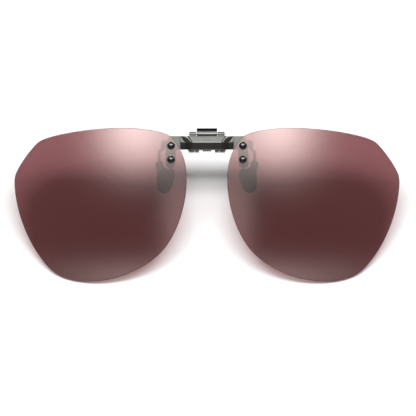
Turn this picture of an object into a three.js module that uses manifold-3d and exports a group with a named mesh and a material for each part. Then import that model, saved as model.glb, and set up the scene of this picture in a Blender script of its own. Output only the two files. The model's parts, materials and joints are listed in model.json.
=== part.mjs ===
// Flip-up clip-on sunglasses: two rimless tinted lenses on a metal bridge that swings on a small
// sprung clip. Four silicone paddles of the clip grip the wearer's own spectacles.
//
// Millimetres. X runs across the face, Y from the front (-) to the back (+), Z is up.
// The origin is the middle of the grip: on the centre plane, between the front and rear paddles.

import * as THREE from "three";
import { mergeVertices } from "three/addons/utils/BufferGeometryUtils.js";
import Module from "manifold-3d";

const wasm = await Module();
wasm.setup();

// Driving dimensions

// Lenses: the two screws of each lens are its datum, and its curve is square to them there.
const SCREW_X = 13.04;
const SCREW_PITCH = 5.02;
const SCREW_MID_Z = 10.63;
const LENS_THICK = 0.9;
const LENS_CURVE_R = 250;
const LENS_HOLE_R = 1.0;

// Lens fixings
const PLATE_FRONT_Y = -7.2;
const PLATE_THICK = 0.8;
const FLANGE_THICK = 0.28;
const LENS_REAR_GAP = 0.35; // plate to lens, filled by the bush's flange
const FLANGE_R = 1.3;
const SLEEVE_R = 0.95;
const SCREW_R = 0.6;
const SCREW_CLEARANCE = 0.06;
const HEAD_R = 1.45;
const HEAD_RISE = 1.1;
const NUT_ACROSS_FLATS = 2.4;
const NUT_THICK = 1.0;

// Bridge bar: a folded channel whose ends flatten into arms that pass behind the lenses
const BAR_TOP_Z = 16.7;
const BAR_RIDGE_Z = 14.4;
const BAR_BOTTOM_Z = 11.75;
const BAR_TOP_Y = -7.75;
const BAR_RIDGE_Y = -8.9;
const BAR_BOTTOM_Y = -8.0;
const BAR_WALL = 0.9;
// Two slanting folds turn each end back to the plates: |x| of each at the ridge and at the top.
const INNER_FOLD_X = [5.37, 6.93];
const OUTER_FOLD_X = [7.85, 9.5];
const ARM_END_X = 9.6;
const ARM_LEAN = 0.36; // how fast the arms' lower part leans back below the ridge

// Flip hinge: the clip frame's middle knuckle between the bridge bar's two knuckles
const FLIP_Y = -6.0;
const FLIP_Z = 17.5;
const FLIP_PIN_R = 0.4;
const MIDDLE_KNUCKLE_R = 0.75;
const SIDE_KNUCKLE_R = 0.75;
const MIDDLE_KNUCKLE_HALF = 3.7;
const SIDE_KNUCKLE_FROM = 3.9;
const SIDE_KNUCKLE_TO = 6.3;
const TAB_TOP_Z = 19.5;
const TAB_REACH = 0.7; // from the pin's axis to the tab's front
const TAB_THICK = 0.65;

// Jaws
const SHEET = 0.8;
const FRONT_SHEET_Y = -4.5; // middle of the clip frame's sheet
const REAR_SHEET_Y = 1.3; // middle of the rear jaw's sheet
const RAIL_LOW_Z = 12.4;
const RAIL_HIGH_Z = 15.1;
const BLOCK_FROM_X = 11.9;
const BLOCK_TO_X = 16.7;
const BLOCK_DEEP = 1.6;
const TOE_X = 12.96; // inner leg of a wire loop, where it enters its block
const HEEL_X = 15.9; // outer leg

// Jaw hinge
const JAW_Y = -1.2;
const JAW_Z = 12.0;
const JAW_PIN_R = 0.5;
const JAW_KNUCKLE_R = 1.3;
const PIN_CLEARANCE = 0.06;
const CLIP_KNUCKLE = [4.5, 6.6]; // x span of each knuckle of the clip frame
const LEVER_KNUCKLE = [2.9, 4.4];
const SPRING_WIRE_R = 0.2;
const SPRING_COIL_R = 0.8;
const SPRING_TURNS = 6;
const SPRING_PITCH = 0.46;

// Wire loops and paddles
const WIRE_R = 0.55;
const BORE_CLEARANCE = 0.05; // wire in its metal block
const MOULD_GAP = 0.2; // wire in its silicone paddle
const PADDLE_THICK = 2.8;
const PADDLE_EDGE = 0.4;
const GRIP_HALF_GAP = 0.2; // closed paddles to the centre plane

// Detent leaf behind the flip knuckles
const DETENT_THICK = 0.3;
const RIVET_X = 2.2;
const RIVET_Z = 13.9;
const RIVET_R = 0.35;
const RIVET_HEAD_R = 0.65;
const RIVET_HEAD_RISE = 0.25;

const PIN_SIDES = 16;
const WIRE_SIDES = 8;
const WIRE_STEPS = 40;

// Materials

function finish(color, roughness, metalness, opacity = 1) {
  return new THREE.MeshStandardMaterial({
    color,
    roughness,
    metalness,
    opacity,
    transparent: opacity < 1,
  });
}

const tintedLens = finish(0x6e3a3c, 0.06, 0, 0.5);
const gunmetal = finish(0x8b8b82, 0.35, 1);
const blackScrew = finish(0x1b1b1d, 0.2, 1);
const springSteel = finish(0x9a9a9c, 0.3, 1);
const silicone = finish(0x4c4a4a, 0.55, 0);
const nylon = finish(0xd8d5cf, 0.5, 0);

// Solids

function toSolid(geometry) {
  const bare = geometry.clone();
  bare.deleteAttribute("normal");
  bare.deleteAttribute("uv");
  const merged = mergeVertices(bare, 1e-5);
  return new wasm.Manifold(
    new wasm.Mesh({
      numProp: 3,
      vertProperties: new Float32Array(merged.attributes.position.array),
      triVerts: new Uint32Array(merged.index.array),
    }),
  );
}

function toGeometry(manifold) {
  const { vertProperties, triVerts } = manifold.getMesh();
  const geometry = new THREE.BufferGeometry();
  geometry.setAttribute("position", new THREE.BufferAttribute(vertProperties, 3));
  geometry.setIndex(new THREE.BufferAttribute(triVerts, 1));
  return geometry;
}

function join(pieces) {
  return pieces.reduce((sum, piece) => sum.add(piece));
}

// A box given by its low and high corners.
function block(low, high) {
  const size = high.map((v, i) => v - low[i]);
  const geometry = new THREE.BoxGeometry(...size);
  geometry.translate(...low.map((v, i) => v + size[i] / 2));
  return geometry;
}

// A round rod along X between two x values.
function rodX(radius, fromX, toX, y, z) {
  const geometry = new THREE.CylinderGeometry(radius, radius, toX - fromX, PIN_SIDES);
  geometry.rotateZ(Math.PI / 2);
  geometry.translate((fromX + toX) / 2, y, z);
  return geometry;
}

// A flat outline in the XZ plane, given thickness from frontY to the back.
function plateXZ(shape, frontY, thickness, options = {}) {
  const geometry = new THREE.ExtrudeGeometry(shape, {
    depth: thickness,
    bevelEnabled: false,
    curveSegments: 8,
    ...options,
  });
  geometry.rotateX(Math.PI / 2);
  geometry.translate(0, frontY + thickness, 0);
  return geometry;
}

function tubeAlong(path, radius, steps, sides = WIRE_SIDES) {
  const ring = [];
  for (let i = 0; i < sides; i += 1) {
    const angle = (2 * Math.PI * i) / sides;
    ring.push(new THREE.Vector2(radius * Math.cos(angle), radius * Math.sin(angle)));
  }
  return new THREE.ExtrudeGeometry(new THREE.Shape(ring), { steps, extrudePath: path });
}

function named(name, geometry, material) {
  const mesh = new THREE.Mesh(geometry, material);
  mesh.name = name;
  return mesh;
}

// Lens: the outline of one lens, in its datum frame, with x growing away from the nose

function lensOutline(side) {
  const at = (x, z) => [side * (x - SCREW_X), z - SCREW_MID_Z];
  const outline = new THREE.Shape();
  outline.moveTo(...at(31.2, 19.65));
  // long flat crown, then a soft corner
  outline.bezierCurveTo(...at(40, 19.65), ...at(51.5, 18.2), ...at(58, 16));
  outline.bezierCurveTo(...at(60, 15.3), ...at(61.4, 14.7), ...at(62.6, 13.2));
  // nearly straight upper outer side, then the temple corner
  outline.bezierCurveTo(...at(65, 10.6), ...at(67.7, 6.9), ...at(69.2, 3.7));
  outline.bezierCurveTo(...at(69.9, 2.4), ...at(70.1, 0.6), ...at(69.95, -1.5));
  // lower outer side and the round bottom
  outline.bezierCurveTo(...at(69.3, -11.5), ...at(65, -23), ...at(57.7, -30.9));
  outline.bezierCurveTo(...at(54.4, -34.5), ...at(49.5, -36.2), ...at(43.2, -36.2));
  outline.bezierCurveTo(...at(34, -36.2), ...at(24, -32.6), ...at(17.35, -26.3));
  // nose side, up to the screws and back to the crown
  outline.bezierCurveTo(...at(11.5, -20.8), ...at(7.35, -9.5), ...at(7.35, 1));
  outline.bezierCurveTo(...at(7.35, 6), ...at(8.3, 11.8), ...at(13.4, 16.7));
  outline.bezierCurveTo(...at(15, 18.1), ...at(22.5, 19.65), ...at(31.2, 19.65));
  return outline;
}

// A round dish whose two faces are parts of two spheres, hollow towards +Y.
function lensBlank() {
  const reach = 66;
  const rings = 10;
  const sag = (r, sphere) => sphere - Math.sqrt(sphere * sphere - r * r);
  const profile = [];
  for (let i = 0; i <= rings; i += 1) {
    const r = (reach * i) / rings;
    profile.push(new THREE.Vector2(r, sag(r, LENS_CURVE_R) - LENS_THICK));
  }
  for (let i = rings; i >= 0; i -= 1) {
    const r = (reach * i) / rings;
    profile.push(new THREE.Vector2(r, sag(r, LENS_CURVE_R - LENS_THICK)));
  }
  return new THREE.LatheGeometry(profile, 40);
}

function lensGeometry(side) {
  const deep = 40;
  const prism = plateXZ(lensOutline(side), -deep / 2, deep);
  let lens = toSolid(lensBlank()).intersect(toSolid(prism));
  for (const z of [SCREW_PITCH / 2, -SCREW_PITCH / 2]) {
    const hole = new THREE.CylinderGeometry(LENS_HOLE_R, LENS_HOLE_R, deep, PIN_SIDES);
    hole.translate(0, 0, z);
    lens = lens.subtract(toSolid(hole));
  }
  return toGeometry(lens);
}

// Lens plate: a stamped sheet behind the lens, from the end of the bar's arm down past both screws

function plateGeometry(side) {
  const at = (x, z) => [side * (x - SCREW_X), z - SCREW_MID_Z];
  const outline = new THREE.Shape();
  outline.moveTo(...at(ARM_END_X, BAR_TOP_Z));
  outline.lineTo(...at(12.6, BAR_TOP_Z));
  outline.quadraticCurveTo(...at(14, 16.6), ...at(14.3, 14.8));
  outline.lineTo(...at(15.1, 8.3));
  outline.bezierCurveTo(...at(15.3, 4.3), ...at(11.7, 4.3), ...at(11.55, 6.9));
  outline.lineTo(...at(11.3, 10.8));
  outline.quadraticCurveTo(...at(11.3, BAR_BOTTOM_Z), ...at(10.4, BAR_BOTTOM_Z));
  outline.lineTo(...at(ARM_END_X, BAR_BOTTOM_Z));
  outline.closePath();
  for (const z of [SCREW_PITCH / 2, -SCREW_PITCH / 2]) {
    const hole = new THREE.Path();
    hole.absarc(0, z, SCREW_R + SCREW_CLEARANCE, 0, 2 * Math.PI);
    outline.holes.push(hole);
  }
  return plateXZ(outline, 0, PLATE_THICK);
}

// Dome head screw, head towards -Y, with y = 0 on the front of the lens plate.
function screwGeometry() {
  const underHead = -(LENS_REAR_GAP + LENS_THICK) - 0.02;
  const end = PLATE_THICK + NUT_THICK + 0.15;
  const profile = [new THREE.Vector2(0, underHead - HEAD_RISE)];
  const steps = 6;
  for (let i = 1; i <= steps; i += 1) {
    const angle = (Math.PI / 2) * (i / steps);
    profile.push(
      new THREE.Vector2(HEAD_R * Math.sin(angle), underHead - HEAD_RISE * Math.cos(angle)),
    );
  }
  profile.push(new THREE.Vector2(SCREW_R, underHead));
  profile.push(new THREE.Vector2(SCREW_R, end));
  profile.push(new THREE.Vector2(0, end));
  return new THREE.LatheGeometry(profile, PIN_SIDES);
}

// Flanged bush: the sleeve lines the lens hole and the flange parts the lens from the plate.
function bushGeometry() {
  const bore = SCREW_R + SCREW_CLEARANCE;
  const flangeFront = -FLANGE_THICK;
  const sleeveFront = -(LENS_REAR_GAP + LENS_THICK) + 0.05;
  const profile = [
    new THREE.Vector2(bore, sleeveFront),
    new THREE.Vector2(SLEEVE_R, sleeveFront),
    new THREE.Vector2(SLEEVE_R, flangeFront),
    new THREE.Vector2(FLANGE_R, flangeFront),
    new THREE.Vector2(FLANGE_R, 0),
    new THREE.Vector2(bore, 0),
    new THREE.Vector2(bore, sleeveFront),
  ];
  return new THREE.LatheGeometry(profile, PIN_SIDES);
}

function nutGeometry() {
  const cornerR = NUT_ACROSS_FLATS / Math.sqrt(3);
  const outline = new THREE.Shape();
  for (let i = 0; i < 6; i += 1) {
    const angle = (Math.PI * i) / 3;
    const point = [cornerR * Math.cos(angle), cornerR * Math.sin(angle)];
    if (i === 0) outline.moveTo(...point);
    else outline.lineTo(...point);
  }
  outline.closePath();
  const bore = new THREE.Path();
  bore.absarc(0, 0, SCREW_R + SCREW_CLEARANCE, 0, 2 * Math.PI);
  outline.holes.push(bore);
  return plateXZ(outline, PLATE_THICK, NUT_THICK);
}

// One lens with its plate and fixings, about its datum between the two screws.
function lensSide(label, side) {
  const group = new THREE.Group();
  group.position.set(side * SCREW_X, PLATE_FRONT_Y, SCREW_MID_Z);
  const lens = named(`lens_${label}`, lensGeometry(side), tintedLens);
  lens.position.y = -LENS_REAR_GAP;
  group.add(lens, named(`lens_plate_${label}`, plateGeometry(side), gunmetal));
  for (const [row, z] of [["upper", SCREW_PITCH / 2], ["lower", -SCREW_PITCH / 2]]) {
    const fixings = new THREE.Group();
    fixings.position.z = z;
    fixings.add(
      named(`lens_screw_${row}_${label}`, screwGeometry(), blackScrew),
      named(`lens_bush_${row}_${label}`, bushGeometry(), nylon),
      named(`lens_nut_${row}_${label}`, nutGeometry(), gunmetal),
    );
    group.add(fixings);
  }
  return group;
}

// Bridge bar

// The channel's front at height z: two facets that meet in a ridge.
function barFrontY(z) {
  const [endZ, endY] = z > BAR_RIDGE_Z ? [BAR_TOP_Z, BAR_TOP_Y] : [BAR_BOTTOM_Z, BAR_BOTTOM_Y];
  return THREE.MathUtils.mapLinear(z, BAR_RIDGE_Z, endZ, BAR_RIDGE_Y, endY);
}

function channelGeometry() {
  // the section as depths behind the front, going round from the rear of the top
  const section = [
    [1.25, BAR_TOP_Z],
    [0, BAR_TOP_Z],
    [0, BAR_RIDGE_Z],
    [0, BAR_BOTTOM_Z],
    [1.3, BAR_BOTTOM_Z],
    [1.6, BAR_BOTTOM_Z + 0.8],
    [BAR_WALL, BAR_BOTTOM_Z + 0.9],
    [BAR_WALL, BAR_RIDGE_Z],
    [BAR_WALL, BAR_TOP_Z - 0.9],
    [1.65, BAR_TOP_Z - 0.8],
  ];
  const points = section.map(([depth, z]) => new THREE.Vector2(barFrontY(z) + depth, z));
  const geometry = new THREE.ExtrudeGeometry(new THREE.Shape(points), {
    depth: 2 * ARM_END_X,
    steps: 36,
    bevelEnabled: false,
  });
  // The extrusion's x, y, z become Y, Z, X. Between its two folds each end turns back and the channel
  // closes up into a strip, flat above the ridge and leaning back below it.
  const place = geometry.attributes.position;
  for (let i = 0; i < place.count; i += 1) {
    const [y, z, x] = [place.getX(i), place.getY(i), place.getZ(i) - ARM_END_X];
    const lean = ARM_LEAN * Math.max(BAR_RIDGE_Z - z, 0);
    const flatY = PLATE_FRONT_Y + lean + Math.min(y - barFrontY(z), PLATE_THICK);
    const rise = Math.max(z - BAR_RIDGE_Z, 0) / (BAR_TOP_Z - BAR_RIDGE_Z);
    const inner = THREE.MathUtils.lerp(...INNER_FOLD_X, rise);
    const outer = THREE.MathUtils.lerp(...OUTER_FOLD_X, rise);
    const bend = THREE.MathUtils.clamp((Math.abs(x) - inner) / (outer - inner), 0, 1);
    place.setXYZ(i, x, THREE.MathUtils.lerp(y, flatY, bend), z);
  }
  return geometry;
}

function bridgeBar() {
  let bar = toSolid(channelGeometry());
  for (const side of [-1, 1]) {
    const ends = [side * SIDE_KNUCKLE_FROM, side * SIDE_KNUCKLE_TO].sort((a, b) => a - b);
    const knuckle = rodX(SIDE_KNUCKLE_R, ends[0], ends[1], FLIP_Y, FLIP_Z);
    const leaf = block([ends[0], -6.7, BAR_TOP_Z - 0.6], [ends[1], -5.7, FLIP_Z]);
    bar = join([bar, toSolid(knuckle), toSolid(leaf)]);
  }
  const reach = SIDE_KNUCKLE_TO + 1;
  const bore = rodX(FLIP_PIN_R + PIN_CLEARANCE, -reach, reach, FLIP_Y, FLIP_Z);
  return named("bridge_bar", toGeometry(bar.subtract(toSolid(bore))), gunmetal);
}

// A pin along X with a thin peened head outside each end of its knuckles.
function pinGeometry(radius, gripHalf, headR, headThick) {
  const half = gripHalf + headThick;
  const profile = [
    new THREE.Vector2(0, -half),
    new THREE.Vector2(headR * 0.7, -half),
    new THREE.Vector2(headR, -half + headThick * 0.5),
    new THREE.Vector2(headR, -gripHalf),
    new THREE.Vector2(radius, -gripHalf),
    new THREE.Vector2(radius, gripHalf),
    new THREE.Vector2(headR, gripHalf),
    new THREE.Vector2(headR, half - headThick * 0.5),
    new THREE.Vector2(headR * 0.7, half),
    new THREE.Vector2(0, half),
  ];
  const geometry = new THREE.LatheGeometry(profile, PIN_SIDES);
  geometry.rotateZ(Math.PI / 2);
  return geometry;
}

// Wire loop: down its outer leg, round the paddle and up its inner leg.
// y is counted from the middle of the paddle, and bow is how far off that the block lies.
function wirePath(side, bow) {
  const route = [
    [HEEL_X, 1, 14.7],
    [HEEL_X, 1, 13.4],
    [HEEL_X, 1, 12.4],
    [16.45, 1, 11.75],
    [17.2, 1, 11.1],
    [17.35, 0.96, 10.2],
    [17.35, 0.7, 9.3],
    [17.35, 0.25, 8.3],
    [17.3, 0.03, 7.4],
    [17.1, 0, 6.4],
    [16.7, 0, 5.2],
    [16.6, 0, 3.8],
    [16.6, 0, 0.9],
    [16.15, 0, -0.45],
    [15.15, 0, -1],
    [14.15, 0, -0.45],
    [13.7, 0, 0.9],
    [13.65, 0, 3.4],
    [13.35, 0, 4.8],
    [13.05, 0.03, 6.3],
    [TOE_X, 0.25, 7.6],
    [TOE_X, 0.7, 9],
    [TOE_X, 0.96, 10.2],
    [TOE_X, 1, 11.2],
    [TOE_X, 1, 12.4],
    [TOE_X, 1, 13.4],
    [TOE_X, 1, 14.7],
  ];
  return new THREE.CatmullRomCurve3(
    route.map(([x, share, z]) => new THREE.Vector3(side * x, bow * share, z)),
    false,
    "centripetal",
  );
}

// Paddle: a mitten with a long collar on the outer leg and a short one on the inner leg.
function paddleOutline(side) {
  const at = (x, z) => [side * x, z];
  const outline = new THREE.Shape();
  outline.moveTo(...at(15.85, 5.5));
  outline.lineTo(...at(15.85, 7));
  outline.quadraticCurveTo(...at(15.85, 7.8), ...at(16.6, 7.8));
  outline.lineTo(...at(18, 7.8));
  outline.quadraticCurveTo(...at(18.8, 7.8), ...at(18.8, 7));
  outline.bezierCurveTo(...at(18.8, 6), ...at(18.2, 5.6), ...at(18.15, 4.2));
  outline.lineTo(...at(18.1, 0.9));
  outline.bezierCurveTo(...at(18.5, -0.6), ...at(18.6, -4.2), ...at(15.5, -4.2));
  outline.bezierCurveTo(...at(13.4, -4.2), ...at(12, -0.9), ...at(11.75, 2.2));
  outline.lineTo(...at(11.7, 4));
  outline.quadraticCurveTo(...at(11.7, 4.8), ...at(12.5, 4.8));
  outline.lineTo(...at(15.2, 4.8));
  outline.quadraticCurveTo(...at(15.85, 4.8), ...at(15.85, 5.5));
  return outline;
}

function paddleGeometry(side, bow) {
  const core = PADDLE_THICK - 2 * PADDLE_EDGE;
  const slab = plateXZ(paddleOutline(side), -core / 2, core, {
    bevelEnabled: true,
    bevelThickness: PADDLE_EDGE,
    bevelSize: PADDLE_EDGE,
    bevelOffset: -PADDLE_EDGE,
    bevelSegments: 2,
    curveSegments: 5,
  });
  const channel = tubeAlong(wirePath(side, bow), WIRE_R + MOULD_GAP, WIRE_STEPS);
  return toGeometry(toSolid(slab).subtract(toSolid(channel)));
}

// The left and right wire loops and paddles of one jaw.
function grips(face, paddleY, blockY) {
  const group = new THREE.Group();
  group.position.y = paddleY;
  const bow = blockY - paddleY;
  for (const [label, side] of [["left", -1], ["right", 1]]) {
    const wire = tubeAlong(wirePath(side, bow), WIRE_R, WIRE_STEPS);
    group.add(
      named(`${face}_wire_${label}`, wire, springSteel),
      named(`${face}_paddle_${label}`, paddleGeometry(side, bow), silicone),
    );
  }
  return group;
}

// The rail of a jaw: a strip of sheet with a block at each end that holds the wire's two legs.
function jawRail(sheetY, backward) {
  const sheetFront = sheetY - SHEET / 2;
  const rail = toSolid(
    block([-BLOCK_FROM_X, sheetFront, RAIL_LOW_Z], [BLOCK_FROM_X, sheetFront + SHEET, RAIL_HIGH_Z]),
  );
  const blockFront = backward ? sheetFront : sheetFront + SHEET - BLOCK_DEEP;
  const blockY = blockFront + BLOCK_DEEP / 2;
  const pieces = [rail];
  const bores = [];
  for (const side of [-1, 1]) {
    const ends = [side * (BLOCK_FROM_X - 0.1), side * BLOCK_TO_X].sort((a, b) => a - b);
    pieces.push(
      toSolid(
        block([ends[0], blockFront, RAIL_LOW_Z], [ends[1], blockFront + BLOCK_DEEP, RAIL_HIGH_Z]),
      ),
    );
    for (const x of [TOE_X, HEEL_X]) {
      const bore = new THREE.CylinderGeometry(
        WIRE_R + BORE_CLEARANCE,
        WIRE_R + BORE_CLEARANCE,
        2.5,
        PIN_SIDES,
      );
      bore.rotateX(Math.PI / 2);
      bore.translate(side * x, blockY, RAIL_LOW_Z + 1.2);
      bores.push(toSolid(bore));
    }
  }
  return { rail: join(pieces).subtract(join(bores)), blockY };
}

// The two knuckles of a jaw on the jaw pin, with the arms that join them to the jaw's sheet.
function jawKnuckles(fromX, toX, sheetY) {
  const pieces = [];
  for (const side of [-1, 1]) {
    const ends = [side * fromX, side * toX].sort((a, b) => a - b);
    const reach = [JAW_Y, sheetY].sort((a, b) => a - b);
    const armTop = JAW_Z + JAW_KNUCKLE_R;
    pieces.push(
      toSolid(rodX(JAW_KNUCKLE_R, ends[0], ends[1], JAW_Y, JAW_Z)),
      toSolid(block([ends[0], reach[0], armTop - 0.9], [ends[1], reach[1], armTop])),
    );
  }
  return join(pieces);
}

const jawBore = () => toSolid(rodX(JAW_PIN_R + PIN_CLEARANCE, -9, 9, JAW_Y, JAW_Z));

// Clip frame: the front jaw, with the middle flip knuckle and the thumb tab folded from its sheet
const frontRail = jawRail(FRONT_SHEET_Y, true);

function clipFrame() {
  const half = MIDDLE_KNUCKLE_HALF;
  const sheetRear = FRONT_SHEET_Y + SHEET / 2;
  const sheetFront = FRONT_SHEET_Y - SHEET / 2;
  const foldTop = FLIP_Z + MIDDLE_KNUCKLE_R;
  const tabFront = FLIP_Y - TAB_REACH;
  const web = block([-half, sheetFront, RAIL_LOW_Z], [half, sheetRear, foldTop]);
  const fold = block([-half, FLIP_Y, foldTop - SHEET], [half, sheetRear, foldTop]);
  const tab = block([-half, tabFront, FLIP_Z], [half, tabFront + TAB_THICK, TAB_TOP_Z]);
  const knuckle = rodX(MIDDLE_KNUCKLE_R, -half, half, FLIP_Y, FLIP_Z);
  let frame = join([
    frontRail.rail,
    jawKnuckles(...CLIP_KNUCKLE, sheetRear - 0.1),
    ...[web, fold, tab, knuckle].map(toSolid),
  ]);
  frame = frame.subtract(toSolid(rodX(FLIP_PIN_R + PIN_CLEARANCE, -9, 9, FLIP_Y, FLIP_Z)));
  frame = frame.subtract(jawBore());
  for (const x of [-RIVET_X, RIVET_X]) {
    const hole = new THREE.CylinderGeometry(RIVET_R + 0.05, RIVET_R + 0.05, 3, PIN_SIDES);
    hole.translate(x, FRONT_SHEET_Y, RIVET_Z);
    frame = frame.subtract(toSolid(hole));
  }
  return named("clip_frame", toGeometry(frame), gunmetal);
}

// Rear jaw lever: rail, knuckles, and a thumb tab that leans towards the front one
const rearRail = jawRail(REAR_SHEET_Y, true);

function jawLever() {
  const half = MIDDLE_KNUCKLE_HALF;
  const front = REAR_SHEET_Y - SHEET / 2;
  const rear = REAR_SHEET_Y + SHEET / 2;
  const lean = new THREE.Shape();
  lean.moveTo(front, RAIL_LOW_Z);
  lean.lineTo(front, 15.5);
  lean.lineTo(-1.6, 19);
  lean.lineTo(-0.9, 19.4);
  lean.lineTo(rear, 15.8);
  lean.lineTo(rear, RAIL_LOW_Z);
  lean.closePath();
  const tab = new THREE.ExtrudeGeometry(lean, { depth: 2 * half, bevelEnabled: false });
  // the extrusion's own x, y, z become Y, Z, X
  tab.applyMatrix4(new THREE.Matrix4().makeBasis(
    new THREE.Vector3(0, 1, 0),
    new THREE.Vector3(0, 0, 1),
    new THREE.Vector3(1, 0, 0),
  ));
  tab.translate(-half, 0, 0);
  const lever = join([
    rearRail.rail,
    jawKnuckles(...LEVER_KNUCKLE, front + 0.1),
    toSolid(tab),
  ]);
  return named("jaw_lever", toGeometry(lever.subtract(jawBore())), gunmetal);
}

// Detent leaf: a strip riveted to the clip frame, with a finger behind each flip knuckle
function detentSpring() {
  const outline = new THREE.Shape();
  const at = [
    [-6.1, 13],
    [6.1, 13],
    [6.1, 17.9],
    [4.3, 17.9],
    [4.3, 15],
    [-4.3, 15],
    [-4.3, 17.9],
    [-6.1, 17.9],
  ];
  outline.setFromPoints(at.map(([x, z]) => new THREE.Vector2(x, z)));
  outline.closePath();
  for (const x of [-RIVET_X, RIVET_X]) {
    const hole = new THREE.Path();
    hole.absarc(x, RIVET_Z, RIVET_R + 0.05, 0, 2 * Math.PI);
    outline.holes.push(hole);
  }
  const rear = FRONT_SHEET_Y - SHEET / 2;
  return named("detent_spring", plateXZ(outline, rear - DETENT_THICK, DETENT_THICK), springSteel);
}

function detentRivet(label, side) {
  const front = FRONT_SHEET_Y - SHEET / 2 - DETENT_THICK;
  const rear = FRONT_SHEET_Y + SHEET / 2;
  const profile = [
    new THREE.Vector2(0, front - RIVET_HEAD_RISE),
    new THREE.Vector2(RIVET_HEAD_R * 0.7, front - RIVET_HEAD_RISE),
    new THREE.Vector2(RIVET_HEAD_R, front),
    new THREE.Vector2(RIVET_R, front),
    new THREE.Vector2(RIVET_R, rear),
    new THREE.Vector2(0, rear),
  ];
  const rivet = named(`detent_rivet_${label}`, new THREE.LatheGeometry(profile, 12), springSteel);
  rivet.position.set(side * RIVET_X, 0, RIVET_Z);
  return rivet;
}

// Jaw spring: a coil round the jaw pin, one leg on the clip frame and one on the lever
function jawSpring() {
  const perTurn = 12;
  const count = SPRING_TURNS * perTurn;
  const half = (SPRING_TURNS * SPRING_PITCH) / 2;
  const clipLegY = FRONT_SHEET_Y + SHEET / 2 + SPRING_WIRE_R + 0.1 - JAW_Y;
  const leverLegY = REAR_SHEET_Y - SHEET / 2 - SPRING_WIRE_R - 0.1 - JAW_Y;
  const points = [new THREE.Vector3(-half, clipLegY, 2.9), new THREE.Vector3(-half, clipLegY, 1.9)];
  // from straight in front of the pin, under it and round, to straight behind it
  const sweep = 2 * Math.PI * (SPRING_TURNS - 0.5);
  for (let i = 0; i <= count; i += 1) {
    const share = i / count;
    const angle = Math.PI + sweep * share;
    points.push(
      new THREE.Vector3(
        -half + 2 * half * share,
        SPRING_COIL_R * Math.cos(angle),
        SPRING_COIL_R * Math.sin(angle),
      ),
    );
  }
  points.push(new THREE.Vector3(half, leverLegY, 1.9), new THREE.Vector3(half, leverLegY, 2.8));
  const path = new THREE.CatmullRomCurve3(points, false, "centripetal");
  const spring = named("jaw_spring", tubeAlong(path, SPRING_WIRE_R, 84, 6), springSteel);
  spring.position.set(0, JAW_Y, JAW_Z);
  return spring;
}

function pins() {
  const flip = pinGeometry(FLIP_PIN_R, SIDE_KNUCKLE_TO + 0.1, 0.6, 0.25);
  const flipPin = named("flip_pin", flip, springSteel);
  flipPin.position.set(0, FLIP_Y, FLIP_Z);
  const jaw = pinGeometry(JAW_PIN_R, CLIP_KNUCKLE[1] + 0.1, 0.75, 0.3);
  const jawPin = named("jaw_pin", jaw, springSteel);
  jawPin.position.set(0, JAW_Y, JAW_Z);
  return [flipPin, jawPin];
}

// Assembly

const paddleY = GRIP_HALF_GAP + PADDLE_THICK / 2;

const clipBody = new THREE.Group();
clipBody.add(
  clipFrame(),
  ...pins(),
  jawSpring(),
  detentSpring(),
  detentRivet("left", -1),
  detentRivet("right", 1),
  grips("front", -paddleY, frontRail.blockY),
);

const rearJaw = new THREE.Group();
rearJaw.add(jawLever(), grips("rear", paddleY, rearRail.blockY));

const lensCarrier = new THREE.Group();
lensCarrier.add(bridgeBar(), lensSide("left", -1), lensSide("right", 1));

const clipOnSunglasses = new THREE.Group();
clipOnSunglasses.add(clipBody, rearJaw, lensCarrier);

export default clipOnSunglasses;
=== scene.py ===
# %% [markdown]
# # A pair of flip-up clip-on sunglasses
#
# Two thin tinted lenses hang on a small metal bridge. The bridge swings up on a hinge at the top of a
# sprung clip, and the clip holds the wearer's own spectacles between four silicone paddles.
#
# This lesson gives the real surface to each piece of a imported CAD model. The model is the frame: it says
# where each piece is and how it moves. Every new piece is a surface worked out with numpy, and every
# finish is a small tree of shader nodes.

# %% Load the frame
import json
import math
import bpy
import numpy as np
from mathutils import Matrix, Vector

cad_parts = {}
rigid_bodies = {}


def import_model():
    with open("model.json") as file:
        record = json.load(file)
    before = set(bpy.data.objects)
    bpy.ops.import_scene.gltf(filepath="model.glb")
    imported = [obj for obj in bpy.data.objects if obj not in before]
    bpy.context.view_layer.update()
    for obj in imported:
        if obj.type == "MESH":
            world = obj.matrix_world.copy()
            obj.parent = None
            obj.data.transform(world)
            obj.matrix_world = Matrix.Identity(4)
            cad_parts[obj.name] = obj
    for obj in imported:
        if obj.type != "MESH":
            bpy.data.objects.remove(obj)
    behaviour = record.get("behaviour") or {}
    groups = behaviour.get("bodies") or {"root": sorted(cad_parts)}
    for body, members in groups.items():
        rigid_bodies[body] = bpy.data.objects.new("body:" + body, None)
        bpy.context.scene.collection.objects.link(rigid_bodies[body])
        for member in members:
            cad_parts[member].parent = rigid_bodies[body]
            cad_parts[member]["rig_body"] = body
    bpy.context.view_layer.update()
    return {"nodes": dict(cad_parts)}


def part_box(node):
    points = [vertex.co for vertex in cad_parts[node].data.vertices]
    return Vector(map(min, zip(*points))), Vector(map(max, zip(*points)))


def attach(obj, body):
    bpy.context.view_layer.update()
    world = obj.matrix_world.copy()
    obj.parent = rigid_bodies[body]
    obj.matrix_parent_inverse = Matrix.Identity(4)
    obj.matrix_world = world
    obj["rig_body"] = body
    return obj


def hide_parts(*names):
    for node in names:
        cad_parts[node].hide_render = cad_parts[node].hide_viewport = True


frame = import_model()
MM = 0.001
SIDES = {"left": -1, "right": 1}


def place_of(node):
    """The low corner, high corner and middle of a CAD node's box, in millimetres."""
    low, high = (np.array(corner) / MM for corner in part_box(node))
    return low, high, (low + high) / 2


# %% [markdown]
# ## Tools for outlines and routes
#
# Sheet metal is cut to an outline and bent to a section, and wire follows a route. So three small tools
# come first: one turns straight corners into arcs, one draws a smooth outline through Bezier handles, and
# one spaces points evenly. Each works on whole arrays, so an outline of a thousand points costs no more
# code than one of four.

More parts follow.
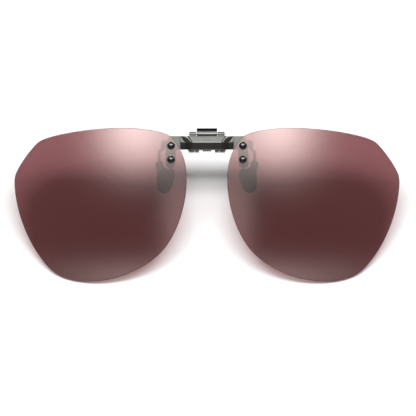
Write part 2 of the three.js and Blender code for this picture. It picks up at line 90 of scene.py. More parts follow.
# %% Outlines
def unit(vectors):
    """Each row divided by its own length."""
    return vectors / np.linalg.norm(vectors, axis=-1, keepdims=True)


def bend(corners, closed=True, steps=7):
    """Corners given as (a, b, radius) become a line with circular arcs.

    Each arc starts where the incoming edge is radius * tan(half the turn) short of its corner. It keeps
    its radius from a centre that lies square to that edge, on the side that the line turns to.
    """
    corners = np.array(corners, float)
    point, radius = corners[:, :2], corners[:, 2:]
    before = unit(point - np.roll(point, 1, 0))
    after = unit(np.roll(point, -1, 0) - point)
    turn = np.arccos(np.clip((before * after).sum(1, keepdims=True), -1, 1))
    side = np.sign(before[:, :1] * after[:, 1:] - before[:, 1:] * after[:, :1])
    across = side * np.stack([-before[:, 1], before[:, 0]], 1)
    start = point - before * radius * np.tan(turn / 2)
    angle = turn[:, None] * np.linspace(0, 1, steps)[None, :, None]
    sweep = across[:, None] * (1 - np.cos(angle)) + before[:, None] * np.sin(angle)
    arcs = start[:, None] + radius[:, None] * sweep
    if closed:
        return arcs.reshape(-1, 2)
    return np.vstack([point[:1], arcs[1:-1].reshape(-1, 2), point[-1:]])


def arc(centre, radius, start, end, steps=33):
    """Points at one radius from a centre, from a start to an end angle in degrees."""
    angle = np.radians(np.linspace(start, end, steps))
    return np.array(centre) + radius * np.stack([np.cos(angle), np.sin(angle)], 1)


def bezier_outline(start, curves, steps=24):
    """A closed outline of cubic curves: each one's three points are its two handles and its end.

    With t from 0 to 1, a point is the sum of the four handles weighted by 1, 3, 3, 1 times the powers
    of t and 1 - t.
    """
    curves = np.array(curves, float)
    ends = np.vstack([[start], curves[:-1, 2]])
    handles = np.concatenate([ends[:, None], curves], 1)
    t = np.linspace(0, 1, steps, endpoint=False)
    weights = np.stack([(1 - t) ** 3, 3 * t * (1 - t) ** 2, 3 * t * t * (1 - t), t**3], 1)
    return np.einsum("tk,ckd->ctd", weights, handles).reshape(-1, 2)


def evenly(points, count, closed=True):
    """The same line with points at equal distances along it."""
    line = np.vstack([points, points[:1]]) if closed else np.array(points)
    length = np.concatenate([[0], np.cumsum(np.linalg.norm(np.diff(line, axis=0), axis=1))])
    at = np.linspace(0, length[-1], count, endpoint=not closed)
    return np.stack([np.interp(at, length, line[:, k]) for k in range(line.shape[1])], 1)


def smooth_route(knots, per_span=8):
    """A centripetal Catmull-Rom curve through the knots.

    Each span is a blend of the lines through its four nearest knots, with knot times that grow by the
    square root of the distance, so the curve doesn't overshoot where knots are close.
    """
    knots = np.array(knots, float)
    padded = np.vstack([2 * knots[0] - knots[1], knots, 2 * knots[-1] - knots[-2]])
    p = [padded[k : len(padded) - 3 + k, None] for k in range(4)]
    gaps = [np.linalg.norm(p[k + 1] - p[k], axis=-1, keepdims=True) ** 0.5 for k in range(3)]
    time = np.cumsum(np.stack([gaps[0] * 0, *gaps]), 0)
    t = time[1] + gaps[1] * np.linspace(0, 1, per_span, endpoint=False)[None, :, None]

    def between(a, b, first, last):
        share = (t - time[first]) / (time[last] - time[first])
        return a * (1 - share) + b * share

    near = [between(p[k], p[k + 1], k, k + 1) for k in range(3)]
    wide = [between(near[k], near[k + 1], k, k + 2) for k in range(2)]
    curve = between(wide[0], wide[1], 1, 2)
    return np.vstack([curve.reshape(-1, 3), knots[-1:]])


print("a bent corner has", len(bend([(0, 0, 0.2), (1, 0, 0.2), (1, 1, 0.2)])) // 3, "points")

# %% [markdown]
# ## Tools for surfaces
#
# Nearly every piece is a stack of rings: the outline of a plate at different depths, the circle of a wire
# at each point of its route, or the circle of a turned part at each point of its profile. One function
# skins a stack of rings, and three short ones make the stacks.
#
# Real metal has no knife edges. Stamping and tumbling leave every edge a little round, and that is where
# a plated part shines or wears. So a plate's rings follow a quarter circle at each edge, and each point
# there is marked in an attribute called edge, which the finishes read. A mark above zero is polished by
# wear at the edges and painted light on the bar's end facets, and one below zero is painted shade.

# %% Surfaces from rings
def skin(rings, edge=None, loop=False):
    """Rings of points, as an array (ring, point, xyz), joined into a closed shell.

    Quads join each ring to the next. The first and last ring are closed by a flat face, or joined to each
    other where loop is true. A shell whose volume comes out negative is turned the right way out.
    """
    count, around = rings.shape[:2]
    index = np.arange(count * around).reshape(count, around)
    following = np.roll(index, -1, 0) if loop else index[1:]
    here = index if loop else index[:-1]
    quads = np.stack([here, np.roll(here, -1, 1), np.roll(following, -1, 1), following], -1).reshape(-1, 4)
    points = rings.reshape(-1, 3)
    corner = points[quads]
    volume = np.einsum("ij,ij->", corner[:, 0], np.cross(corner[:, 1], corner[:, 2]))
    volume += np.einsum("ij,ij->", corner[:, 0], np.cross(corner[:, 2], corner[:, 3]))
    faces = quads.tolist()
    if not loop:
        caps = [index[0][::-1], index[-1]]
        for cap in caps:
            flat = points[cap]
            volume += flat.mean(0) @ np.cross(flat, np.roll(flat, -1, 0)).sum(0)
        faces += [cap.tolist() for cap in caps]
    if volume < 0:
        faces = [face[::-1] for face in faces]
    marks = np.zeros(rings.shape[:2]) if edge is None else np.broadcast_to(edge, rings.shape[:2])
    return {"points": points, "faces": faces, "edge": marks.reshape(-1)}


def rounded_steps(edge, low, high, steps=5):
    """How far in from its outline, and at what depth, each ring of a plate lies: (inset, depth, mark).

    The inset is edge * (1 - sin) and the depth edge * (1 - cos) of an angle that goes from a flat face to
    the side. One more ring lies just inside each flat face, so that the face shades flat.
    """
    angle = np.linspace(0, math.pi / 2, steps)
    inset = np.concatenate([[edge * 1.35], edge * (1 - np.sin(angle))])
    depth = np.concatenate([[0], edge * (1 - np.cos(angle))])
    mark = np.concatenate([[0, 0], np.sin(2 * angle[1:-1]) ** 0.5, [0.35]])
    return (
        np.concatenate([inset, inset[::-1]]),
        np.concatenate([low + depth, high - depth[::-1]]),
        np.concatenate([mark, mark[::-1]]),
    )


def inward(outline):
    """A unit vector at each point of a closed outline, square to it and towards its inside."""
    along = unit(np.roll(outline, -1, 0) - np.roll(outline, 1, 0))
    following = np.roll(outline, -1, 0)
    area = (outline[:, 0] * following[:, 1] - outline[:, 1] * following[:, 0]).sum()
    return np.sign(area) * np.stack([-along[:, 1], along[:, 0]], 1)


def plate(outline, low, high, edge, across="y"):
    """A flat outline given thickness from low to high along one axis, with round edges."""
    inset, depth, mark = rounded_steps(edge, low, high)
    flat = outline[None] + inset[:, None, None] * inward(outline)[None]
    deep = np.broadcast_to(depth[:, None], flat.shape[:2])
    order = {"x": [deep, flat[..., 0], flat[..., 1]], "y": [flat[..., 0], deep, flat[..., 1]]}
    return skin(np.stack(order[across], -1), mark[:, None])


def turned(profile, centre, axis="y", steps=40, loop=False, edge=None):
    """A profile of (radius, height) carried round an axis: each point becomes a circle at its height."""
    angle = np.linspace(0, 2 * math.pi, steps, endpoint=False)
    radius, height = profile[:, :1], profile[:, 1:]
    ring = [radius * np.cos(angle), height + 0 * angle, radius * np.sin(angle)]
    if axis == "x":
        ring = [ring[1], ring[0], ring[2]]
    marks = None if edge is None else np.array(edge)[:, None]
    return skin(np.stack(ring, -1) + np.array(centre), marks, loop)


def tube(route, radius, near, sides=16):
    """A circle carried along a route. near is a direction that the route never runs along.

    With T the direction of the route, N is near with its part along T taken off, and B is T x N. The
    ring at each point is radius * (cos a N + sin a B).
    """
    along = unit(np.gradient(route, axis=0))
    near = np.array(near, float)
    normal = unit(near - (along @ near)[:, None] * along)
    other = np.cross(along, normal)
    angle = np.linspace(0, 2 * math.pi, sides, endpoint=False)[None, :, None]
    ring = np.cos(angle) * normal[:, None] + np.sin(angle) * other[:, None]
    return skin(route[:, None] + radius * ring)


# %% Pieces from shells
MADE = {}
SHARP = math.radians(40)
SMALL_SHARP = math.radians(30)


def shell_mesh(name, shells):
    """One mesh of several shells, in metres."""
    starts = np.cumsum([0] + [len(shell["points"]) for shell in shells])
    faces = [[i + first for i in face] for first, shell in zip(starts, shells) for face in shell["faces"]]
    mesh = bpy.data.meshes.new(name)
    mesh.from_pydata(np.vstack([shell["points"] for shell in shells]) * MM, [], faces)
    return mesh


def placed(name, data):
    """A new object in the scene, which shows a mesh or is a lamp or a camera."""
    made = bpy.data.objects.new(name, data)
    bpy.context.scene.collection.objects.link(made)
    return made


def piece(node, shells, finish, sharp=SHARP):
    """Joins shells into one mesh that stands for a CAD node and rides on the node's body.

    Its Weighted Normal modifier lets large faces decide each normal, so a flat face shades flat right up
    to the small arcs beside it.
    """
    mesh = shell_mesh(node + "_made", shells)
    mesh.polygons.foreach_set("use_smooth", np.ones(len(mesh.polygons), bool))
    mesh.set_sharp_from_angle(angle=sharp)
    marks = mesh.attributes.new("edge", "FLOAT", "POINT")
    marks.data.foreach_set("value", np.concatenate([shell["edge"] for shell in shells]).astype(np.float32))
    made = placed(node + "_made", mesh)
    made.data.materials.append(finish)
    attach(made, frame["nodes"][node]["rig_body"])
    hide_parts(node)
    made.modifiers.new("flat_shading", "WEIGHTED_NORMAL").keep_sharp = True
    mesh.calc_loop_triangles()
    MADE[node] = len(mesh.loop_triangles)
    return made


# %% [markdown]
# ## Tools for finishes
#
# A finish is a tree of nodes, and its maths reads best as plain expressions. Num wraps one socket that
# holds a number which varies over the surface, and each operator adds one Math node. Tree has one method
# that adds any other node: first its settings, then its sockets. Finish is the tree of a material.
#
# The patterns read Object coordinates. Each piece sits at the origin with its place in its mesh, so the
# patterns run through neighbouring pieces as they would through metal from one sheet.

# %% Numbers and nodes
def both_ways(operation):
    """An operator's two methods: with the number on the left, and with it on the right."""
    return (
        lambda self, other: self.maths(operation, self, other),
        lambda self, other: self.maths(operation, other, self),
    )


class Num:
    """A number that varies over a surface."""

    def __init__(self, tree, socket):
        self.tree = tree
        self.socket = socket

    def maths(self, operation, first, second=0.0):
        """One Math node on two numbers."""
        node = self.tree.node("Math", {0: first, 1: second}, operation=operation)
        return Num(self.tree, node.outputs[0])

    def clipped(self):
        """The number kept from 0 to 1."""
        return self.maths("MINIMUM", self.maths("MAXIMUM", self, 0.0), 1.0)

    __add__, __radd__ = both_ways("ADD")
    __sub__, __rsub__ = both_ways("SUBTRACT")
    __mul__, __rmul__ = both_ways("MULTIPLY")
    __pow__, __rpow__ = both_ways("POWER")


class Tree:
    """The node tree of a material, a lamp or the world, emptied, with one way to add any node."""

    def __init__(self, owner):
        owner.use_nodes = True
        self.tree = owner.node_tree
        self.tree.nodes.clear()

    def node(self, kind, sockets=None, **settings):
        """A new shader node of a kind: its settings, then a value or a link for each of its sockets."""
        made = self.tree.nodes.new("ShaderNode" + kind)
        for key, value in settings.items():
            setattr(made, key, value)
        for key, value in (sockets or {}).items():
            value = value.socket if isinstance(value, Num) else value
            if isinstance(value, bpy.types.NodeSocket):
                self.tree.links.new(value, made.inputs[key])
            else:
                made.inputs[key].default_value = value
        return made

    def mix(self, share, first, second):
        """Two shaders mixed by a number."""
        return self.node("MixShader", {0: share, 1: first, 2: second}).outputs[0]


class Finish(Tree):
    """A material and the shorter ways to add what finishes use most."""

    def __init__(self, name):
        self.material = bpy.data.materials.new(name)
        super().__init__(self.material)
        self.place = self.node("TexCoord").outputs["Object"]

    def noise(self, cells_per_mm, detail=3, roughness=0.55):
        """Soft noise with its own number of cells to the millimetre along x, y and z."""
        scale = [cells / MM for cells in cells_per_mm]
        scaled = self.node("VectorMath", {0: self.place, 1: scale}, operation="MULTIPLY").outputs[0]
        sockets = {"Vector": scaled, "Scale": 1, "Detail": detail, "Roughness": roughness}
        return Num(self, self.node("TexNoise", sockets).outputs[0])

    def mark(self, name="edge"):
        """The number that a piece's mesh keeps under a name."""
        return Num(self, self.node("Attribute", attribute_name=name).outputs["Fac"])

    def blend(self, share, first, second):
        """Two colours mixed by a number."""
        return self.node("Mix", {0: share, 6: first, 7: second}, data_type="RGBA").outputs[2]

    def bump(self, height, depth_mm, strength=1.0):
        """The normal of a surface raised by a number, up to a depth."""
        sockets = {"Height": height, "Distance": depth_mm * MM, "Strength": strength}
        return self.node("Bump", sockets).outputs[0]

    def principled(self, **sockets):
        """A Principled shader with its sockets set by name."""
        named = {key.replace("_", " "): value for key, value in sockets.items()}
        return self.node("BsdfPrincipled", named).outputs[0]

    def surface(self, **sockets):
        """The whole material as one Principled shader."""
        return self.done(self.principled(**sockets))

    def done(self, shader):
        """Ends the tree with a shader and gives the material."""
        self.node("OutputMaterial", {"Surface": shader})
        return self.material


# %% [markdown]
# ## Gunmetal
#
# The bridge, the clip and the plates are stamped from stainless steel, brushed and plated in a warm dark
# grey. Brushing leaves fine lines along the sheet, so the noise is stretched along x: few cells that way,
# and many across. It drives the roughness and a very shallow bump, which draws out the reflections. At the
# round edges the plating is polished by handling, so they are paler and smoother. The end facets of the bar
# are made paler and smoother the same way, as painted light. Where the edge mark is below zero, painted
# shade makes the metal near-black and rougher: in the grooves, on the hinge knuckles, round the tab's rim
# and on the facet that faces down.

# %% Gunmetal finish
def gunmetal_finish():
    finish = Finish("brushed_gunmetal")
    brushing = finish.noise((0.5, 14, 14), detail=4)
    clouds = finish.noise((0.35, 0.35, 0.35))
    # Above zero the mark is wear at the round edges, plus painted light on the bar's end facets.
    wear_and_painted_light = (finish.mark() * (0.55 + 0.7 * clouds)).clipped()
    # Below zero the mark is painted shade, which the lines below make near-black and rougher.
    painted_shade = (0.0 - finish.mark()).clipped()
    mottled = (0.65 * brushing + 0.5 * clouds).clipped()
    tone = finish.blend(mottled, (0.115, 0.115, 0.108, 1), (0.23, 0.23, 0.215, 1))
    plain = finish.blend(wear_and_painted_light * 0.3, tone, (0.36, 0.36, 0.34, 1))
    color = finish.blend(painted_shade, plain, (0.006, 0.006, 0.007, 1))
    roughness = 0.27 + 0.14 * brushing + 0.08 * clouds - 0.1 * wear_and_painted_light + 0.3 * painted_shade
    return finish.surface(
        Base_Color=color,
        Metallic=1.0,
        Roughness=roughness,
        Normal=finish.bump(brushing, 0.012, 0.6),
    )


GUNMETAL = gunmetal_finish()


# %% [markdown]
# ## Black plating, spring steel, silicone and nylon
#
# The screws are polished and plated black, so their domes are almost mirrors with faint handling haze.
# The wires, pins and springs are drawn wire: bright, with soft blotches from heat treatment. The paddles
# are moulded silicone, a satin black with a very fine orange peel and a little pale dust in the hollows.
# The bushes are milky nylon.

# %% The other finishes
def black_plating_finish():
    finish = Finish("black_plating")
    haze = finish.noise((1.2, 1.2, 1.2), detail=4)
    polish = finish.noise((9, 9, 9))
    color = finish.blend(haze, (0.03, 0.03, 0.032, 1), (0.08, 0.08, 0.085, 1))
    return finish.surface(
        Base_Color=color,
        Metallic=1.0,
        Roughness=0.16 + 0.16 * haze * haze,
        Coat_Weight=0.6,
        Coat_Roughness=0.06,
        Normal=finish.bump(polish, 0.004, 0.5),
    )


def spring_steel_finish():
    finish = Finish("drawn_spring_steel")
    drawing = finish.noise((6, 6, 1.2), detail=4)
    blotches = finish.noise((0.5, 0.5, 0.5))
    tone = finish.blend(blotches, (0.3, 0.29, 0.28, 1), (0.5, 0.5, 0.49, 1))
    return finish.surface(
        Base_Color=finish.blend((finish.mark() * 0.6).clipped(), tone, (0.7, 0.7, 0.69, 1)),
        Metallic=1.0,
        Roughness=0.2 + 0.2 * drawing,
        Normal=finish.bump(drawing, 0.01, 0.5),
    )


def silicone_finish():
    finish = Finish("satin_silicone")
    peel = finish.noise((7, 7, 7), detail=2)
    dust = finish.noise((0.9, 0.9, 0.9), detail=5)
    color = finish.blend((dust * dust * 1.3).clipped(), (0.018, 0.018, 0.019, 1), (0.06, 0.058, 0.056, 1))
    return finish.surface(
        Base_Color=color,
        Roughness=0.42 + 0.22 * dust,
        Sheen_Weight=0.15,
        Normal=finish.bump(peel, 0.02, 0.7),
    )


def nylon_finish():
    finish = Finish("milky_nylon")
    cloud = finish.noise((1.5, 1.5, 1.5))
    return finish.surface(
        Base_Color=finish.blend(cloud, (0.62, 0.6, 0.56, 1), (0.82, 0.81, 0.78, 1)),
        Roughness=0.35 + 0.2 * cloud,
        Normal=finish.bump(cloud, 0.02, 0.4),
    )


BLACK_PLATING = black_plating_finish()
SPRING_STEEL = spring_steel_finish()
SILICONE = silicone_finish()
NYLON = nylon_finish()


# %% [markdown]
# ## The tinted lens
#
# A polarised lens is a dyed film between two clear sheets. Light that goes through is multiplied by the
# tint, and a light flash coating reflects a part of what is before it, more at a slant. A Mix Shader says
# just that: a Transparent shader with the tint and a Glossy shader for the reflection. The share between
# them is mirror + (1 - mirror) * slant^5, with the slant from a Layer Weight node. The lens also throws a
# tinted shadow, as a real one does. Its cut edge is only polished, so it scatters light and looks dark: a
# second Mix Shader puts a plain surface there, by the edge mark.

# %% Lens finish
LENS_PASSES = (0.285, 0.103, 0.112)  # share of red, green and blue that gets through a whole lens
FACE_TINT = (*np.sqrt(LENS_PASSES), 1)  # a ray meets two faces, so each takes the square root
MIRROR = 0.16  # share that a face with a light flash coating sends back straight on


def lens_finish():
    finish = Finish("tinted_lens")
    wiped = finish.noise((0.03, 0.03, 0.14), detail=4)
    through = finish.node("BsdfTransparent", {"Color": FACE_TINT}).outputs[0]
    sheen = {"Color": (1, 0.95, 0.9, 1), "Roughness": 0.03 + 0.06 * wiped * wiped}
    gloss = finish.node("BsdfGlossy", sheen).outputs[0]
    slant = Num(finish, finish.node("LayerWeight", {"Blend": 0.5}).outputs["Facing"])
    mirrored = MIRROR + (1 - MIRROR) * slant**5
    face = finish.mix(mirrored, through, gloss)
    sawn = finish.noise((3, 3, 3), detail=3)
    rim = finish.principled(
        Base_Color=finish.blend(sawn, (0.05, 0.016, 0.018, 1), (0.11, 0.045, 0.04, 1)),
        Roughness=0.22 + 0.2 * sawn,
        Normal=finish.bump(sawn, 0.015, 0.5),
    )
    return finish.done(finish.mix(finish.mark().clipped(), face, rim))


TINTED = lens_finish()
print("finishes", len(bpy.data.materials))

# %% [markdown]
# ## The lenses
#
# Each lens is a slice of a sphere, cut to its outline and drilled for two screws. Near the screws it is
# square to the view, and it falls back towards the temple. The surface is polar: rings of one outline that
# shrink to the middle of the lens, on the front sphere, round the edge, and back in on the rear sphere. A
# ring grid keeps the long reflections smooth, which a flat cut-out with a few big faces would break.

# %% Lens surface
CURVE_RADIUS = 250.0
LENS_THICK = 0.9
LENS_EDGE = 0.17
LENS_HOLE = 1.0
LENS_MIDDLE = np.array([38.0, -8.0])
SCREW_MIDDLES = {
    (row, label): place_of(f"lens_screw_{row}_{label}")[2] for row in ("upper", "lower") for label in SIDES
}
DATUM_X = SCREW_MIDDLES["upper", "right"][0]
DATUM_Z = (SCREW_MIDDLES["upper", "right"][2] + SCREW_MIDDLES["lower", "right"][2]) / 2
PLATE_LOW, PLATE_HIGH, _ = place_of("lens_plate_right")
PLATE_FRONT_Y = PLATE_LOW[1]
LENS_REAR_GAP = 0.35  # from the plate to the lens, filled by the bush's flange
LENS_FRONT_Y = PLATE_FRONT_Y - LENS_REAR_GAP - LENS_THICK


def lens_outline():
    """The outline of one lens with x counted away from the nose: crown, temple corner, bottom, nose side."""
    return bezier_outline(
        (31.2, 19.65),
        [
            [(40, 19.65), (51.5, 18.2), (58, 16)],
            [(60, 15.3), (61.4, 14.7), (62.6, 13.2)],
            [(65, 10.6), (67.7, 6.9), (69.2, 3.7)],
            [(69.9, 2.4), (70.1, 0.6), (69.95, -1.5)],
            [(69.3, -11.5), (65, -23), (57.7, -30.9)],
            [(54.4, -34.5), (49.5, -36.2), (43.2, -36.2)],
            [(34, -36.2), (24, -32.6), (17.35, -26.3)],
            [(11.5, -20.8), (7.35, -9.5), (7.35, 1)],
            [(7.35, 6), (8.3, 11.8), (13.4, 16.7)],
            [(15, 18.1), (22.5, 19.65), (31.2, 19.65)],
        ],
    )


def lens_depth(x, z, below):
    """y of the sphere that lies a depth below the front one, at x away from the nose and at z."""
    out = (x - DATUM_X) ** 2 + (z - DATUM_Z) ** 2
    return LENS_FRONT_Y + CURVE_RADIUS - np.sqrt((CURVE_RADIUS - below) ** 2 - out)


def lens_shell(side, around=400, rings=26):
    """Rings (share of the way out, inset, depth): out over the front, round the edge, in over the back."""
    inset, below, mark = rounded_steps(LENS_EDGE, 0, LENS_THICK)
    inner = np.linspace(0.02, 1, rings, endpoint=False)
    share = np.concatenate([inner, np.ones(len(inset)), inner[::-1]])[:, None, None]
    inset = np.pad(inset, len(inner), mode="edge")[:, None, None]
    below = np.pad(below, len(inner), mode="edge")[:, None]
    mark = np.pad(mark, len(inner))
    outline = evenly(lens_outline(), around)
    flat = LENS_MIDDLE + share * (outline + inset * inward(outline) - LENS_MIDDLE)
    x, z = flat[..., 0], flat[..., 1]
    return skin(np.stack([side * x, lens_depth(x, z, below), z], -1), mark[:, None])


def drill(made, holes, radius, reach=3.0):
    """Cuts round holes through a piece along y with a Boolean modifier, and applies it.

    The piece gives up its other modifier, because a cut sphere has no flat faces to keep.
    """
    rod = np.array([[radius, -reach], [radius, reach]])
    bit = placed("drill", shell_mesh("drill", [turned(rod, hole, steps=32) for hole in holes]))
    made.modifiers.clear()
    cut = made.modifiers.new("drill", "BOOLEAN")
    cut.operation = "DIFFERENCE"
    cut.solver = "EXACT"
    cut.object = bit
    evaluated = made.evaluated_get(bpy.context.evaluated_depsgraph_get())
    drilled = bpy.data.meshes.new_from_object(evaluated)
    made.modifiers.clear()
    made.data = drilled
    drilled.set_sharp_from_angle(angle=SHARP)
    bpy.data.objects.remove(bit)


for label, side in SIDES.items():
    lens = piece(f"lens_{label}", [lens_shell(side)], TINTED)
    drill(lens, [SCREW_MIDDLES[row, label] for row in ("upper", "lower")], LENS_HOLE)
    low, high, middle = place_of(f"lens_{label}")
    print("lens", label, len(lens.data.polygons), "faces, CAD box", low.round(2), high.round(2))

# %% [markdown]
# ## The bridge bar
#
# The bridge is a strip folded into a shallow channel: one facet leans up and catches the light, the other
# leans down and stays dark, and painted shade darkens it more. At each end two slanting folds turn the strip
# back to the lens plates, with one more facet between them, made paler as painted light. The surface is its
# section carried along x: between the folds, each point moves straight back to the flat end. A groove is a
# V-shaped dip by the distance from a fold, darkened with painted shade. The grid is finer along x where the
# folds are.

# %% Bridge bar surface
BAR_LOW, BAR_HIGH, _ = place_of("bridge_bar")
BAR_END_X = BAR_HIGH[0]
BAR_TOP_Z = PLATE_HIGH[2]
BAR_RIDGE_Z = 14.4
BAR_BOTTOM_Z = BAR_LOW[2]
BAR_RIDGE_Y = BAR_LOW[1]
BAR_TOP_Y = BAR_RIDGE_Y + 1.15
BAR_BOTTOM_Y = BAR_RIDGE_Y + 0.9
BAR_WALL = 0.9
INNER_FOLD_X = (5.37, 6.93)
OUTER_FOLD_X = (7.85, 9.5)
ARM_LEAN = 0.36
PLATE_THICK = PLATE_HIGH[1] - PLATE_LOW[1]
GROOVE_DEEP = 0.2
GROOVES = [(INNER_FOLD_X, 0.27, 1.0), (OUTER_FOLD_X, 0.2, 0.45)]  # fold, half width, share of the depth
# Marks for painted light on the end facets, and for painted shade in the grooves and on the lower facet.
FACET_PAINTED_LIGHT, GROOVE_PAINTED_SHADE, UNDER_PAINTED_SHADE = 1.2, 3, 0.65  # edge marks of the end facets, grooves and lower facet


def bar_front(z):
    """y of the two front facets at a height: straight lines from the ridge to the top and the bottom."""
    return np.interp(z, [BAR_BOTTOM_Z, BAR_RIDGE_Z, BAR_TOP_Z], [BAR_BOTTOM_Y, BAR_RIDGE_Y, BAR_TOP_Y])


def bar_section():
    """The channel's section at x = 0, as (y, z), with its fold and its edges rounded."""
    behind = [
        (1.25, BAR_TOP_Z, 0.12), (0, BAR_TOP_Z, 0.2), (0, BAR_RIDGE_Z, 0.3), (0, BAR_BOTTOM_Z, 0.2),
        (1.3, BAR_BOTTOM_Z, 0.25), (1.6, BAR_BOTTOM_Z + 0.8, 0.12),
        (BAR_WALL, BAR_BOTTOM_Z + 0.9, 0.12), (BAR_WALL, BAR_RIDGE_Z, 0.3),
        (BAR_WALL, BAR_TOP_Z - 0.9, 0.12), (1.65, BAR_TOP_Z - 0.8, 0.12),
    ]
    return bend([(bar_front(z) + depth, z, radius) for depth, z, radius in behind])


def fold_x(fold, z):
    """How far out a fold lies at a height: it slants from the ridge to the top, and is upright below."""
    return np.interp(z, [BAR_RIDGE_Z, BAR_TOP_Z], fold)


def groove_depth(x, z):
    """Share of the full groove depth at (x, z): a V along each fold, above the ridge only."""
    depth = 0
    for fold, half, share in GROOVES:
        slope = (fold[1] - fold[0]) / (BAR_TOP_Z - BAR_RIDGE_Z)
        off = np.abs(np.abs(x) - fold_x(fold, z)) / math.hypot(1, slope)
        within = np.clip((z - BAR_RIDGE_Z) / 0.15, 0, 1)
        depth = depth + share * np.clip(1 - off / half, 0, 1) * within
    return depth


def bar_shell():
    """The section at each x: its front goes back between the folds, and its walls close up to a strip.

    A point is marked as an edge where the section turns by more than a quarter of a radian at once.
    """
    section = evenly(bar_section(), 190)
    half = np.concatenate([np.linspace(0, 4.9, 14, endpoint=False), np.linspace(4.9, BAR_END_X, 84)])
    x = np.concatenate([-half[:0:-1], half])[:, None]
    y, z = section[:, 0], section[:, 1]
    inner, outer = fold_x(INNER_FOLD_X, z), fold_x(OUTER_FOLD_X, z)
    share = np.clip((np.abs(x) - inner) / (outer - inner), 0, 1)
    behind = y - bar_front(z)
    lean = ARM_LEAN * np.clip(BAR_RIDGE_Z - z, 0, None)
    flat = PLATE_FRONT_Y + lean + np.clip(behind, 0, PLATE_THICK)
    groove = np.clip(1 - behind / 0.25, 0, 1) * groove_depth(x, z)
    deep = y * (1 - share) + flat * share + GROOVE_DEEP * groove
    turn = np.abs(np.gradient(np.unwrap(np.arctan2(np.gradient(z), np.gradient(y)))))
    edge = np.clip(turn / 0.25, 0, 1) * np.where(np.abs(z - BAR_RIDGE_Z) < 0.4, 0.5, 1)
    grid = np.stack([x + 0 * y, deep, z + 0 * x], -1)
    # Painted light raises the mark on the facets between the folds; painted shade lowers it in the grooves
    # and below the ridge.
    painted_light_facet = np.clip(share * (1 - share) / 0.05, 0, 1) * (z > BAR_RIDGE_Z)
    under = np.clip((BAR_RIDGE_Z - z) / 0.2, 0, 1)
    return skin(grid, edge + FACET_PAINTED_LIGHT * painted_light_facet - GROOVE_PAINTED_SHADE * groove - UNDER_PAINTED_SHADE * under)


# %% [markdown]
# Its two hinge knuckles are ears rolled from the same sheet: a flat leaf that rises behind the top edge and
# curls round the pin. That is one outline, a circle with two straight sides, given thickness along x.

# %% Flip knuckles
FLIP_Y, FLIP_Z = place_of("flip_pin")[2][1:]
SIDE_KNUCKLE_X = (3.9, 6.3)
SIDE_KNUCKLE_R = 0.75
LEAF_Y = (-0.7, 0.3)  # front and rear of the leaf, counted from the pin
LEAF_FOOT_Z = BAR_TOP_Z - 0.6
# Painted shade that darkens the whole flip knuckle.
KNUCKLE_PAINTED_SHADE = 0.5


def flip_knuckle(side):
    """A circle round the pin whose two ends run down to the foot of the leaf."""
    start = math.degrees(math.acos(LEAF_Y[1] / SIDE_KNUCKLE_R))
    end = 180 + math.degrees(math.acos(-LEAF_Y[0] / SIDE_KNUCKLE_R))
    curl = arc((FLIP_Y, FLIP_Z), SIDE_KNUCKLE_R, -start, end, 40)
    foot = [(FLIP_Y + y, LEAF_FOOT_Z) for y in LEAF_Y]
    low, high = sorted(side * x for x in SIDE_KNUCKLE_X)
    knuckle = plate(np.vstack([curl, foot]), low, high, 0.1, across="x")
    # Painted shade: the knuckle's mark is lowered all over.
    knuckle["edge"] -= KNUCKLE_PAINTED_SHADE
    return knuckle


piece("bridge_bar", [bar_shell(), flip_knuckle(-1), flip_knuckle(1)], GUNMETAL)
print("bridge bar", MADE["bridge_bar"], "triangles")

# %% [markdown]
# ## Lens plates
#
# A stamped plate lies behind each lens and takes both screws. It is brazed to the end of the bar's arm. From
# its wide shoulder the outline narrows to a leg with a round foot, all drawn as corners with their radii.

# %% Lens plates
def lens_plate_outline(side, foot):
    """Corners from the arm up round the shoulder, down the outer side, round the foot and back."""
    top, inner, neck = BAR_TOP_Z, BAR_END_X + 0.02, BAR_BOTTOM_Z
    shoulder = [(inner, neck, 0.13), (inner, top, 0.13), (13.75, top, 0.9), (14.95, 13.2, 3)]
    leg = [(15.2, foot, 1.8), (11.45, foot, 1.8), (11.3, neck, 0.9)]
    return bend(shoulder + leg) * (side, 1)


for label, side in SIDES.items():
    low, high, _ = place_of(f"lens_plate_{label}")
    stamped = plate(lens_plate_outline(side, low[2]), low[1], high[1], 0.13)
    piece(f"lens_plate_{label}", [stamped], GUNMETAL)
    print("plate", label, low.round(2), high.round(2))

# %% [markdown]
# ## Screws, bushes and nuts
#
# Each lens hangs on two dome head screws. A nylon bush lines the hole and keeps the lens off the metal, and
# a hexagon nut closes the stack behind the plate. All three are turned parts: a profile of radius and
# height carried round the screw's axis. The nut's flats come from a radius that varies with the angle, as
# half the width over flats divided by the cosine of the angle to the nearest flat, and its corners are cut
# back by a cone, which gives the curved chamfers of a real nut.

# %% Screws, bushes and nuts
DOME_HIGH = 1.1
SHANK_R = 0.6
BORE_R = 0.66
SLEEVE_R = 0.95
FLANGE_THICK = 0.28


def screw_shell(low, high, middle):
    """A dome, rim and shank. The dome is a quarter of an ellipse as wide as the head and as high."""
    head_r = (high[0] - low[0]) / 2
    under = low[1] + DOME_HIGH
    angle = np.linspace(0.02, math.pi / 2 - 0.12, 14)
    dome = np.stack([head_r * np.sin(angle) ** 0.92, under - DOME_HIGH * np.cos(angle)], 1)
    rest = [
        (head_r, under - 0.2, 0), (head_r, under, 0.08), (SHANK_R, under, 0.04),
        (SHANK_R, high[1], 0.08), (0.05, high[1], 0),
    ]
    profile = np.vstack([dome, bend(rest, closed=False)[1:]])
    marks = np.zeros(len(profile))
    marks[len(dome) - 1 : len(dome) + 5] = 0.6
    return turned(profile, (middle[0], 0, middle[2]), steps=48, edge=marks)


